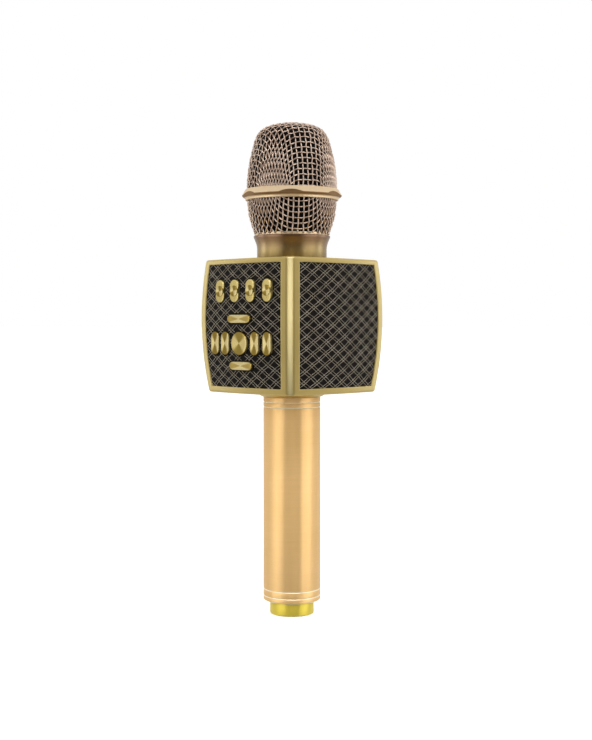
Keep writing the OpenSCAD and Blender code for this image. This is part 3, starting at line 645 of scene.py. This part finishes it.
def drape_cloth(profile):
    """Square wire cloth draped over a turned surface by relaxing a grid of crossings.
    profile runs from the axis outwards. Returns the crossings (n, n, 3), the surface normals,
    which crossings lie on the surface, and the grid's indices."""
    arc, radius, height = smooth_profile(profile)
    count = int(arc[-1] / HEAD_CELL)
    index = np.arange(-count, count + 1)
    grid_i, grid_j = np.meshgrid(index, index, indexing="ij")
    distance = np.hypot(grid_i, grid_j) * HEAD_CELL
    angle = np.arctan2(grid_j, grid_i)
    # the first guess spreads the cloth along its diagonals, away from the middle
    stretch = 1.0 + 0.16 * np.sin(2 * angle) ** 2 * np.clip(distance / 25 - 0.4, 0, 1)
    guess_arc = distance * stretch
    live = guess_arc <= arc[-1]
    guess_r = np.interp(np.minimum(guess_arc, arc[-1]), arc, radius)
    guess_z = np.interp(np.minimum(guess_arc, arc[-1]), arc, height)
    guess = np.stack([guess_r * np.cos(angle), guess_r * np.sin(angle), guess_z], -1)

    # the two middle wires never move
    fixed = (grid_i == 0) | (grid_j == 0)
    springs = []
    for di, dj in ((1, 0), (0, 1), (1, 1), (1, -1)):
        near, far = neighbour_slices(len(index), di, dj)
        both_live = live[near] & live[far]
        diagonal = di != 0 and dj != 0
        rest, strength = (DIAGONAL_REST, DIAGONAL_PUSH) if diagonal else (HEAD_CELL, EDGE_PULL)
        springs.append((near, far, both_live, diagonal, rest, strength))

    points = guess.copy()
    velocity = np.zeros_like(points)
    for step in range(RELAX_STEPS):
        force = np.zeros_like(points)
        for near, far, both_live, diagonal, rest, strength in springs:
            gap = points[far] - points[near]
            length = np.maximum(np.linalg.norm(gap, axis=-1), 1e-9)
            active = both_live & (length < rest) if diagonal else both_live
            push = np.where(active, (length - rest) / length, 0)[..., None] * gap * strength
            force[near] += push
            force[far] -= push
        # wires resist kinks along both directions of the cloth
        for axis in (0, 1):
            row, row_live = points.swapaxes(0, axis), live.swapaxes(0, axis)
            row_force = force.swapaxes(0, axis)
            kink = (row[:-2] + row[2:]) / 2 - row[1:-1]
            all_live = (row_live[:-2] & row_live[1:-1] & row_live[2:])[..., None]
            kink = np.where(all_live, kink, 0) * BEND_STIFFNESS
            row_force[1:-1] += kink * 0.5
            row_force[:-2] -= kink * 0.25
            row_force[2:] -= kink * 0.25
        velocity = velocity * DAMPING + force
        speed = np.linalg.norm(velocity, axis=-1, keepdims=True)
        velocity *= np.minimum(1, LONGEST_MOVE / np.maximum(speed, 1e-9))
        points = points + velocity
        points[fixed] = guess[fixed]
        if step % 4 == 0 or step > RELAX_STEPS - 4:
            points, _ = project(points, radius, height)
            points[fixed] = guess[fixed]
    points, normals = project(points, radius, height)
    return points, normals, live, index


def thread_path(points, normals, signs):
    """One wire through its crossings, over (+1) and under (-1) the cloth's middle."""
    extended = extend_ends(points)
    path, up = [], []
    for k in range(len(points) - 1):
        for u in np.arange(POINTS_PER_CELL) / POINTS_PER_CELL:
            normal = normals[k] * (1 - u) + normals[k + 1] * u
            normal /= np.linalg.norm(normal)
            middle = catmull_rom(*extended[k:k + 4], u)
            path.append(middle + normal * (CRIMP * signs[k] * math.cos(math.pi * u)))
            up.append(normal)
    path.append(points[-1] + normals[-1] * CRIMP * signs[-1])
    up.append(normals[-1])
    return np.array(path), np.array(up)


def wire_basket(name, profile, degrees, z_min, z_max, outward, node):
    """Woven cloth of round wires, turned about Z and shown between two heights.
    outward: 1 or -1, which makes the profile's normals point outwards."""
    points, normals, live, index = drape_cloth(profile)
    normals = normals * outward
    rotation = turn_about_z(math.radians(degrees))
    tubes = Tubes(8)
    for family in (0, 1):
        for i in range(len(index)):
            row, row_normals, row_live = (grid.swapaxes(0, family)[i]
                                          for grid in (points, normals, live))
            signs = np.where((index[i] + index) % 2 == 0, 1.0, -1.0) * (1 - 2 * family)
            for start, stop in true_runs(row_live):
                if stop - start < 2:
                    continue
                path, up = thread_path(row[start:stop], row_normals[start:stop],
                                       signs[start:stop])
                shown = (path[:, 2] > z_min) & (path[:, 2] < z_max)
                for first, last in true_runs(shown):
                    if last - first >= 3:
                        tubes.add(path[first:last] @ rotation.T, HEAD_WIRE_RADIUS,
                                  up[first:last] @ rotation.T)
    hand_over(tubes.build(name), MATERIALS["mesh"], "head", replaces=node)


def shrink(profile, offset):
    """Moves an upward profile inwards along its own normal."""
    points = np.array(profile, float)
    along = np.gradient(points, axis=0)
    along /= np.linalg.norm(along, axis=1, keepdims=True)
    moved = points - np.stack([along[:, 1], -along[:, 0]], -1) * offset
    moved[:, 0] = np.maximum(moved[:, 0], 0)
    return [tuple(point) for point in moved]


def shrink_from_apex(offset):
    """The upper basket's profile moved inwards, running down from a point on the axis."""
    profile = shrink(UPPER_BASKET, offset)[::-1]
    return [(0.0, profile[0][1])] + profile[1:]


def upper_basket():
    profile = shrink_from_apex(CLOTH_INSET)
    rim = profile[-1][0]
    profile += [(rim, 222.0), (rim, 216.0)]      # cloth beyond the shown part
    wire_basket("upper_wire_basket", profile, degrees=-23, z_min=226.3, z_max=math.inf,
                outward=-1, node="grille_upper")


def lower_basket():
    # the cloth starts on the axis and is shown only above this bottom
    bottom = [(0.0, 198.5), (5, 198.6), (10, 198.8), (14, 199.2), (17, 199.8), (18.6, 200.8)]
    profile = shrink(LOWER_BASKET, CLOTH_INSET)
    rim = profile[-1][0]
    profile = bottom + profile + [(rim, 226.0), (rim, 232.0)]
    wire_basket("lower_wire_basket", profile, degrees=-35, z_min=202.65, z_max=222.1,
                outward=1, node="grille_lower")


def head_foam():
    """Hollow foam liner behind the wires, with a rough porous surface."""
    inset, thickness, segments, longest_step = 1.9, 2.6, 128, 1.1
    lower = shrink(LOWER_BASKET, inset)[::-1]
    outer = shrink_from_apex(inset) + [(22.5, 226), (22.4, 222.5)]
    outer += [point for point in lower[1:] if point[1] > 204.6] + [(18.6, 204.4)]
    # the inside is lowered only under the dome
    inner = [(max(0.0, r - thickness), z - (thickness if r < 16 and z > 240 else 0.0))
             for r, z in outer][::-1]
    inner[-1] = (0.0, outer[0][1] - thickness)
    corners = np.array(outer + inner)
    profile = []
    for start, end in zip(corners, np.roll(corners, -1, axis=0)):
        steps = max(1, int(np.linalg.norm(end - start) / longest_step))
        profile += [start + (end - start) * u / steps for u in range(steps)]
    profile = np.array(profile)

    count = len(profile)
    angle = np.tile(np.arange(segments) * 2 * np.pi / segments, (count, 1))
    radius = np.repeat(profile[:, :1], segments, 1)
    z = np.repeat(profile[:, 1:], segments, 1)
    shift = (np.random.default_rng(11).random(radius.shape) - 0.5) * 0.28
    off_axis = radius > 0.2
    z = z + np.where(off_axis, shift * 0.5, 0)
    radius = np.where(off_axis, np.maximum(radius + shift - 0.1, 0.0), radius)
    verts = np.stack([radius * np.cos(angle), radius * np.sin(angle), z], -1).reshape(-1, 3)

    ring = np.arange(count)[:, None] * segments
    next_ring = (np.arange(count)[:, None] + 1) % count * segments
    j = np.arange(segments)[None, :]
    j_next = (j + 1) % segments
    quads = np.stack([ring + j, ring + j_next, next_ring + j_next, next_ring + j], -1)
    foam = add_quads("head_foam", verts * MM, quads.reshape(-1, 4))
    hand_over(foam, MATERIALS["foam"], "head", replaces="foam_liner")


upper_basket()
lower_basket()
head_foam()

# --------------------------------------------------------------------------------------- keys
# Keys are lofted in a local frame: x right, y up, z outwards (-Y), with z = 0 at the CAD
# node's front. All tables are in mm.
OUTLINE_STEPS = 24      # per rounded end
# push key side and rounded rim: (inset, height)
PUSH_RIM = [(0.0, -4.6), (0.0, -0.42), (0.04, -0.2604), (0.12, -0.126), (0.24, -0.042),
            (0.36, -0.02)]
# push key top, a shallow dish: (share of the dish's outline, height)
DISH_INSET = 0.46
PUSH_DISH = [(1.0, 0.0), (0.8, -0.05), (0.55, -0.10), (0.3, -0.14), (0.1, -0.16)]
# rocker: the height of its two end pads, and its rings: (inset, height over pads, pinch)
PAD_HEIGHT = -0.5
PAD_RINGS = [(0.0, -5.5, 0.0), (0.0, -1.5, 0.0), (0.0, -1.35, 0.2), (0.0, -0.55, 0.2),
             (0.05, -0.32, 0.2), (0.18, -0.12, 0.2), (0.42, -0.02, 0.2), (0.7, 0.0, 0.2)]
# rocker hub: its radius over the rocker's half width, and (share of radius, height over pads)
HUB_SHARE = 0.84
HUB_RINGS = [(1.0, -1.1), (1.0, 0.12), (0.985, 0.3), (0.94, 0.42), (0.86, 0.47), (0.6, 0.42),
             (0.3, 0.36), (0.08, 0.33)]


def stadium(width, height, inset):
    """Anticlockwise outline; one at least twice as wide as high gets longer, elliptical ends."""
    width, height = width - 2 * inset, height - 2 * inset
    radius = min(width, height) / 2
    if width >= height:
        end = radius if width < 2 * height else radius * 1.45
        centre_x, centre_y, first_angle = width / 2 - end, 0.0, -math.pi / 2
    else:
        end = radius
        centre_x, centre_y, first_angle = 0.0, (height - width) / 2, 0.0
    points = []
    for side, start in ((1, first_angle), (-1, first_angle + math.pi)):
        for i in range(OUTLINE_STEPS + 1):
            angle = start + math.pi * i / OUTLINE_STEPS
            points.append((side * centre_x + end * math.cos(angle),
                           side * centre_y + radius * math.sin(angle)))
    return points


def waisted_stadium(width, height, inset, pinch, steps=36):
    """Tall stadium drawn in at its middle by the share pinch."""
    width, height = width - 2 * inset, height - 2 * inset
    points = []
    for i in range(2 * steps):
        y = height / 2 * math.sin(math.pi * i / steps - math.pi / 2)
        over = max(0.0, abs(y) - (height - width) / 2)
        half = math.sqrt(max(0.0, (width / 2) ** 2 - over ** 2))
        half *= 1 - pinch * math.exp(-(y / 1.5) ** 4)
        points.append((half if i < steps else -half, y))
    return points


def scaled(points, factor):
    return [(x * factor, y * factor) for x, y in points]


def loft(name, rings):
    """Closed skin over rings of (outline, height), all with the same number of points."""
    count = len(rings[0][0])
    verts = [(x * MM, y * MM, z * MM) for points, z in rings for x, y in points]
    faces = []
    for k in range(len(rings) - 1):
        for i in range(count):
            j = (i + 1) % count
            faces.append((k * count + i, k * count + j,
                          (k + 1) * count + j, (k + 1) * count + i))
    faces.append(tuple(range(count))[::-1])
    top, middle = (len(rings) - 1) * count, len(verts)
    verts.append((0, 0, rings[-1][1] * MM))
    faces += [(top + i, top + (i + 1) % count, middle) for i in range(count)]
    return add_mesh(name, verts, faces)


def place_key(obj, node, material, replaces=None):
    x, z, _, _, front = KEYS[node]
    obj.matrix_world = Matrix(((1, 0, 0, x * MM), (0, 0, -1, front * MM), (0, 1, 0, z * MM),
                               (0, 0, 0, 1)))
    hand_over(obj, MATERIALS[material], BODY_OF[node], replaces)


def push_key(node):
    _, _, width, height, _ = KEYS[node]
    rings = [(stadium(width, height, inset), z) for inset, z in PUSH_RIM]
    dish = stadium(width, height, DISH_INSET)
    rings += [(scaled(dish, share), z) for share, z in PUSH_DISH]
    if abs(width - height) < 0.1:
        material = "spun_round"
    else:
        material = "spun_tall" if height > width else "spun_wide"
    place_key(loft(node + "_cap", rings), node, material, replaces=node)


def rocker_key(node):
    """Waisted key with two end pads and a round, slightly dished hub standing over them."""
    _, _, width, height, _ = KEYS[node]
    rings = [(waisted_stadium(width, height, inset, pinch), PAD_HEIGHT + z)
             for inset, z, pinch in PAD_RINGS]
    place_key(loft(node + "_pads", rings), node, "key_gold", replaces=node)

    radius = width / 2 * HUB_SHARE
    circle = [(math.cos(2 * math.pi * i / 48), math.sin(2 * math.pi * i / 48))
              for i in range(48)]
    rings = [(scaled(circle, radius * share), PAD_HEIGHT + z) for share, z in HUB_RINGS]
    place_key(loft(node + "_hub", rings), node, "spun_hub")


for key_node in PUSH_KEYS:
    push_key(key_node)
for key_node in ROCKER_KEYS:
    rocker_key(key_node)


# ------------------------------------------------------- CAD nodes that keep their own meshes
def box_bevel_weights(inner):
    """Geometry nodes that weigh the box's sharp edges for its bevel: 1 on the top and bottom
    outline, halfway between inner and 1 on the corner strips, inner elsewhere."""
    group = bpy.data.node_groups.new("box_edges", "GeometryNodeTree")
    for direction in ("INPUT", "OUTPUT"):
        group.interface.new_socket("Geometry", in_out=direction,
                                   socket_type="NodeSocketGeometry")
    group_in = group.nodes.new("NodeGroupInput")
    group_out = group.nodes.new("NodeGroupOutput")
    link = group.links.new

    def calc(operation, a, b=0.0):
        node = group.nodes.new("ShaderNodeMath")
        node.operation = operation
        for socket, value in zip(node.inputs, (a, b)):
            if isinstance(value, (int, float)):
                socket.default_value = value
            else:
                link(value, socket)
        return node.outputs[0]

    split = group.nodes.new("ShaderNodeSeparateXYZ")
    link(group.nodes.new("GeometryNodeInputPosition").outputs[0], split.inputs[0])
    x, y, z = calc("ABSOLUTE", split.outputs[0]), calc("ABSOLUTE", split.outputs[1]), \
        split.outputs[2]
    larger, smaller = calc("MAXIMUM", x, y), calc("MINIMUM", x, y)

    # how far out the face's surface lies here
    dz = calc("SUBTRACT", z, FACE_CENTRE_Z * MM)
    squares = calc("ADD", calc("MULTIPLY", smaller, smaller), calc("MULTIPLY", dz, dz))
    bulge = calc("SQRT", calc("SUBTRACT", (FACE_RADIUS * MM) ** 2, squares))
    face = calc("SUBTRACT", bulge, -SPHERE_CENTRE * MM)
    on_face = calc("GREATER_THAN", larger, calc("SUBTRACT", face, 0.0004))
    on_strip = calc("GREATER_THAN", calc("ADD", larger, smaller),
                    calc("SUBTRACT", calc("MULTIPLY", face, 2.0), 0.004))
    outer = calc("MAXIMUM", on_face, on_strip)

    lo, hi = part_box("box_frame")
    rim = calc("MAXIMUM", calc("GREATER_THAN", z, hi.z - 0.0002),
               calc("LESS_THAN", z, lo.z + 0.0002))
    corner = calc("LESS_THAN", calc("SUBTRACT", larger, smaller), 0.0045)
    edge_angle = group.nodes.new("GeometryNodeInputMeshEdgeAngle")
    sharp = calc("GREATER_THAN", edge_angle.outputs["Unsigned Angle"], 0.52)
    outline = calc("MULTIPLY", outer, calc("MAXIMUM", rim, calc("MULTIPLY", corner, 0.5)))
    weight = calc("MULTIPLY", sharp,
                  calc("ADD", inner, calc("MULTIPLY", 1.0 - inner, outline)))

    merge = group.nodes.new("GeometryNodeMergeByDistance")
    merge.inputs["Distance"].default_value = 1e-6
    store = group.nodes.new("GeometryNodeStoreNamedAttribute")
    store.data_type, store.domain = "FLOAT", "EDGE"
    store.inputs["Name"].default_value = "bevel_weight_edge"
    link(weight, next(s for s in store.inputs if s.name == "Value" and s.enabled))
    link(group_in.outputs[0], merge.inputs[0])
    link(merge.outputs[0], store.inputs[0])
    link(store.outputs[0], group_out.inputs[0])
    return group


def round_box(width, inner):
    """Rounds the box by width in mm at full weight; inner is the weight of its inner edges."""
    box = NODES["box_frame"]
    box.modifiers.new("edges", "NODES").node_group = box_bevel_weights(inner)
    bevel = box.modifiers.new("bevel", "BEVEL")
    bevel.width = width * MM
    bevel.segments = 4
    bevel.limit_method = "WEIGHT"
    bevel.use_clamp_overlap = False
    bevel.loop_slide = False
    box.modifiers.new("normals", "WEIGHTED_NORMAL").weight = 100


def soften(node, width, degrees):
    """Rounds a CAD node's edges sharper than the given angle by width in mm."""
    modifiers = NODES[node].modifiers
    modifiers.new("weld", "WELD").merge_threshold = 1e-6
    bevel = modifiers.new("bevel", "BEVEL")
    bevel.width = width * MM
    bevel.segments = 2
    bevel.limit_method = "ANGLE"
    bevel.angle_limit = math.radians(degrees)
    bevel.harden_normals = True
    bevel.use_clamp_overlap = True
    bevel.loop_slide = False


round_box(width=1.15, inner=0.22)
soften("grille_band", width=0.22, degrees=22)
soften("neck_collar", width=0.2, degrees=30)
soften("bottom_cover", width=0.25, degrees=35)
soften("tail_cap", width=0.15, degrees=25)
soften("handle_tube", width=0.08, degrees=30)


# -------------------------------------------------------------------------------------- floor
def floor():
    """Pale flat floor, wide enough to meet the pale background."""
    away = Vector((-math.sin(STUDIO_AZIMUTH), math.cos(STUDIO_AZIMUTH), 0))
    sideways = Vector((away.y, -away.x, 0))
    verts = []
    for distance in np.linspace(-12, 30, 22):
        for side in (-20, 20):
            point = away * distance + sideways * side
            verts.append((point.x, point.y, -0.0001))
    faces = [(i, i + 1, i + 3, i + 2) for i in range(0, len(verts) - 2, 2)]
    obj = add_mesh("floor_sweep", verts, faces)

    shader = Shader("pale_floor")
    cloud = shader.noise(3, detail=2)
    # the floor throws less light up at the part than it shows
    seen = shader.new("ShaderNodeLightPath").outputs["Is Camera Ray"]
    shader.surface("Base Color", shader.mix(
        seen, shader.mix(cloud, (0.20, 0.20, 0.20), (0.22, 0.22, 0.22)),
        shader.mix(cloud, (0.93, 0.93, 0.93), (0.95, 0.95, 0.95))))
    shader.surface("Emission Color", (1, 1, 1))
    shader.surface("Emission Strength", shader.math("MULTIPLY", seen, 0.55))
    shader.surface("Roughness", 0.85)
    shader.surface("Specular IOR Level", 0.1)
    obj.data.materials.append(shader.material)
    obj.visible_glossy = False


floor()


# ------------------------------------------------------------------------------------- lights
def area(name, side, elevation, distance, size, power, color=(1, 1, 1), target_z=0.15):
    """Area light aimed at the axis. side: degrees round from the camera, positive towards
    its right; elevation in degrees; size is (across, up)."""
    azimuth, elevation = math.radians(CAMERA_AZIMUTH + side), math.radians(elevation)
    back = Vector((math.sin(azimuth) * math.cos(elevation),
                   -math.cos(azimuth) * math.cos(elevation), math.sin(elevation)))
    light = bpy.data.lights.new(name, "AREA")
    light.shape = "RECTANGLE"
    light.size, light.size_y = size
    light.energy = power
    light.color = color
    obj = bpy.data.objects.new(name, light)
    bpy.context.scene.collection.objects.link(obj)
    obj.location = Vector((0, 0, target_z)) + back * distance
    obj.rotation_mode = "QUATERNION"
    obj.rotation_quaternion = (-back).to_track_quat("-Z", "Y")
    return obj


def limit_lights(lights, collection_name, receivers, exclude=False):
    """Lets the lights reach only the receivers, or everything but them."""
    collection = bpy.data.collections.new(collection_name)
    for obj in receivers:
        collection.objects.link(obj)
    if exclude:
        for member in collection.collection_objects:
            member.light_linking.link_state = "EXCLUDE"
    for light in lights:
        light.light_linking.receiver_collection = collection


def lights():
    # two tall softboxes for the round parts, kept off the box's flat faces
    softboxes = [
        area("soft_left", side=-58, elevation=0, distance=1.1, size=(0.94, 1.5), power=8.8),
        area("soft_right", side=61, elevation=0, distance=1.1, size=(0.94, 1.5), power=8.8),
    ]
    top = area("top_soft", side=10, elevation=62, distance=1.3, size=(0.9, 0.7), power=8)
    panels = ("box_frame", "front_panel", "right_grille", "left_grille", "rear_grille")
    limit_lights(softboxes, "softbox_receivers", [NODES[k] for k in panels] + LATTICES,
                 exclude=True)

    # narrow lights for the box alone: its front corner strip and its two far edges
    blue = (0.5, 0.62, 1.0)
    limit_lights([
        area("box_front", side=0, elevation=2, distance=1.0, size=(0.16, 0.8), power=3.0),
        area("box_left", side=-112, elevation=4, distance=1.1, size=(0.25, 1.0), power=2.2,
             color=blue),
        area("box_right", side=112, elevation=4, distance=1.1, size=(0.25, 1.0), power=2.6,
             color=blue),
    ], "box_receivers", [NODES["box_frame"]])

    # two lights from behind give the neck collar its pale edges
    limit_lights([
        area("collar_left", side=-106, elevation=5, distance=1.1, size=(0.4, 0.9), power=3.6,
             color=(0.86, 0.9, 1.0), target_z=0.196),
        area("collar_right", side=106, elevation=5, distance=1.1, size=(0.4, 0.9), power=3.6,
             color=(0.78, 0.86, 1.0), target_z=0.196),
    ], "collar_receivers", [NODES["neck_collar"]])

    # the band has a weaker top light of its own
    band = [NODES["grille_band"]]
    limit_lights([top], "top_receivers", band, exclude=True)
    band_top = area("band_top", side=4, elevation=58, distance=1.3, size=(1.2, 0.7), power=2.6)
    limit_lights([band_top], "band_receivers", band)

    # low fill from the camera's side
    fill = area("front_fill", side=0, elevation=0, distance=1.2, size=(0.9, 1.4), power=2.8,
                color=(1.0, 0.97, 0.9))
    limit_lights([fill], "fill_receivers",
                 [NODES["handle_tube"], NODES["tail_cap"]] + LATTICES)


lights()


# -------------------------------------------------------------------------------------- world
def studio_world():
    """White to the camera. Everything else sees dark on the camera's side, pale at the sides
    and behind the part."""
    world = bpy.data.worlds.new("studio")
    bpy.context.scene.world = world
    world.use_nodes = True
    nodes, link = world.node_tree.nodes, world.node_tree.links.new
    seen = nodes["Background"]
    seen.inputs["Color"].default_value = (1, 1, 1, 1)
    seen.inputs["Strength"].default_value = 1.0
    reflected = nodes.new("ShaderNodeBackground")
    reflected.inputs["Color"].default_value = (1.0, 0.985, 0.96, 1)

    facing = nodes.new("ShaderNodeVectorMath")
    facing.operation = "DOT_PRODUCT"
    facing.inputs[1].default_value = (math.sin(STUDIO_AZIMUTH), -math.cos(STUDIO_AZIMUTH), 0)
    link(nodes.new("ShaderNodeTexCoord").outputs["Generated"], facing.inputs[0])
    zero_to_one = nodes.new("ShaderNodeMapRange")
    zero_to_one.inputs["From Min"].default_value = -1
    link(facing.outputs["Value"], zero_to_one.inputs["Value"])

    # brightness from behind the part (0) to the camera's side (1)
    ramp = nodes.new("ShaderNodeValToRGB")
    stops = ramp.color_ramp.elements
    stops[0].color = (0.95, 0.95, 0.95, 1)
    stops[1].color = (0.10, 0.10, 0.10, 1)
    for place, value in ((0.35, 0.9), (0.55, 0.8), (0.68, 0.5), (0.85, 0.22)):
        stops.new(place).color = (value, value, value, 1)
    link(zero_to_one.outputs["Result"], ramp.inputs["Fac"])
    link(ramp.outputs["Color"], reflected.inputs["Strength"])

    mix = nodes.new("ShaderNodeMixShader")
    link(nodes.new("ShaderNodeLightPath").outputs["Is Camera Ray"], mix.inputs[0])
    link(reflected.outputs[0], mix.inputs[1])
    link(seen.outputs[0], mix.inputs[2])
    link(mix.outputs[0], nodes["World Output"].inputs["Surface"])


studio_world()


# ------------------------------------------------------------------------------------- camera
def camera():
    """Level camera at the front right, shifted to frame the whole part."""
    distance, height = 0.699, 0.1566
    data = bpy.data.cameras.new("camera")
    data.sensor_fit = "AUTO"
    data.sensor_width = 36.0
    data.lens = 63.243243
    data.shift_x = 0.0055405405
    data.shift_y = -0.066216216
    data.clip_start, data.clip_end = 0.05, 40
    obj = bpy.data.objects.new("camera", data)
    bpy.context.scene.collection.objects.link(obj)
    azimuth = math.radians(CAMERA_AZIMUTH)
    obj.location = (distance * math.sin(azimuth), -distance * math.cos(azimuth), height)
    obj.rotation_mode = "QUATERNION"
    look = Vector((-math.sin(azimuth), math.cos(azimuth), 0))
    obj.rotation_quaternion = look.to_track_quat("-Z", "Y")
    bpy.context.scene.camera = obj


camera()

view = bpy.context.scene.view_settings
view.view_transform = "Standard"
view.look = "None"
view.exposure = 0.0
